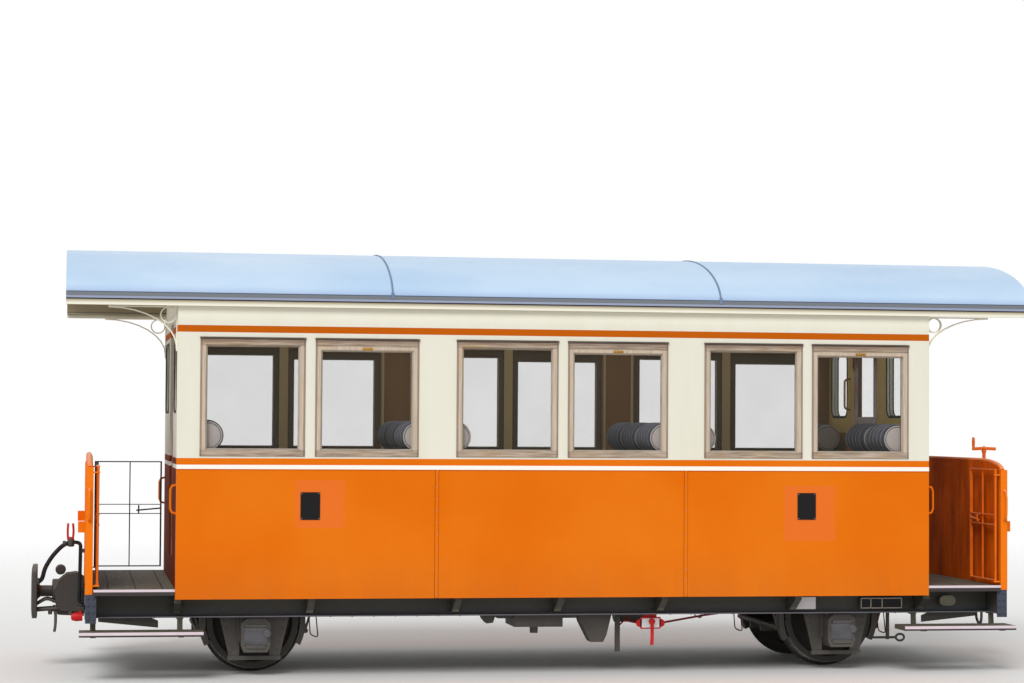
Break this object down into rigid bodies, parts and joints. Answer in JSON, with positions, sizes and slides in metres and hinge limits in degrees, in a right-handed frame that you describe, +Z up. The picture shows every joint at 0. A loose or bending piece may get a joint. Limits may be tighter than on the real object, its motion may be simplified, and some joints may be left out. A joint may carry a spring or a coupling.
{
  "type": "passenger coach",
  "caption": "Two-axle narrow-gauge passenger coach with open end platforms, bar gates and an arched roof.",
  "frame": {"origin": "under the middle of the coach, at the lowest point of the wheel flanges", "axes": "+X along the coach to the right-hand end, +Y from the near side to the far side, +Z up"},
  "size_m": [7.8, 2.55, 3.2],
  "materials": {
    "orange_paint": "semi-gloss paint, slightly faded",
    "cream_paint": "semi-gloss paint",
    "roof_sheet": "pale blue-grey painted sheet",
    "black_iron": "dusty black paint",
    "wheel_steel": "rusty, bright on the tread",
    "deck_boards": "weathered grey-brown boards",
    "window_wood": "weathered varnished wood",
    "door_wood": "varnished",
    "upholstery": "grey-violet striped cloth",
    "hose_rubber": "matt"
  },
  "bodies": {
    "frame": {"solebar_near": "black_iron", "solebar_far": "black_iron", "cross_frame": "black_iron", "saloon_floor": "deck_boards", "platform_deck_left": "deck_boards", "platform_deck_right": "deck_boards", "side_wall_near": "orange_paint", "side_wall_far": "orange_paint", "end_wall_left": "cream_paint", "end_wall_right": "cream_paint", "roof": "roof_sheet", "platform_panel_left": "orange_paint", "platform_panel_right": "orange_paint", "axlebox_left_near": "black_iron", "axlebox_left_far": "black_iron", "axlebox_right_near": "black_iron", "axlebox_right_far": "black_iron", "buffer_left": "black_iron", "buffer_right": "black_iron", "brake_hose_left": "hose_rubber", "footboard_left_near": "deck_boards", "footboard_left_far": "deck_boards", "footboard_right_near": "deck_boards", "footboard_right_far": "deck_boards", "brake_gear_left": "black_iron", "brake_gear_right": "black_iron", "brake_cylinder": "black_iron", "equipment_box": "black_iron", "handbrake": "orange_paint", "bench_middle_left": "upholstery", "bench_middle_right": "upholstery", "bench_left_near": "upholstery", "bench_left_far": "upholstery", "bench_right_near": "upholstery", "bench_right_far": "upholstery", "window_near_1": "window_wood", "window_near_2": "window_wood", "window_near_3": "window_wood", "window_near_4": "window_wood", "window_near_5": "window_wood", "window_near_6": "window_wood", "window_far_1": "window_wood", "window_far_2": "window_wood", "window_far_3": "window_wood", "window_far_4": "window_wood", "window_far_5": "window_wood", "window_far_6": "window_wood"},
    "wheelset_left": {"wheelset_left": "wheel_steel"},
    "wheelset_right": {"wheelset_right": "wheel_steel"},
    "saloon_door_left": {"saloon_door_left": "door_wood"},
    "saloon_door_right": {"saloon_door_right": "door_wood"},
    "gate_left_near": {"gate_left_near": "orange_paint"},
    "gate_left_far": {"gate_left_far": "orange_paint"},
    "gate_right_near": {"gate_right_near": "orange_paint"},
    "gate_right_far": {"gate_right_far": "orange_paint"}
  },
  "joints": [
    {"name": "wheelset_left_turn", "type": "hinge", "parent": "frame", "child": "wheelset_left", "pos_m": [-2.25, 0, 0.378], "axis": [0, 1, 0], "continuous": true},
    {"name": "wheelset_right_turn", "type": "hinge", "parent": "frame", "child": "wheelset_right", "pos_m": [2.25, 0, 0.378], "axis": [0, 1, 0], "continuous": true},
    {"name": "saloon_door_left_hinge", "type": "hinge", "parent": "frame", "child": "saloon_door_left", "pos_m": [-2.794, -0.47, 0.854], "axis": [0, 0, 1], "range_deg": [-90, 0]},
    {"name": "saloon_door_right_hinge", "type": "hinge", "parent": "frame", "child": "saloon_door_right", "pos_m": [2.794, 0.47, 0.854], "axis": [0, 0, 1], "range_deg": [-90, 0]},
    {"name": "gate_left_near_hinge", "type": "hinge", "parent": "frame", "child": "gate_left_near", "pos_m": [-3.414, -1.1655, 0.698], "axis": [0, 0, 1], "range_deg": [-90, 0]},
    {"name": "gate_left_far_hinge", "type": "hinge", "parent": "frame", "child": "gate_left_far", "pos_m": [-3.414, 1.1655, 0.698], "axis": [0, 0, 1], "range_deg": [-90, 0]},
    {"name": "gate_right_near_hinge", "type": "hinge", "parent": "frame", "child": "gate_right_near", "pos_m": [3.414, -1.1655, 0.698], "axis": [0, 0, 1], "range_deg": [0, 90]},
    {"name": "gate_right_far_hinge", "type": "hinge", "parent": "frame", "child": "gate_right_far", "pos_m": [3.414, 1.1655, 0.698], "axis": [0, 0, 1], "range_deg": [0, 90]}
  ]
}
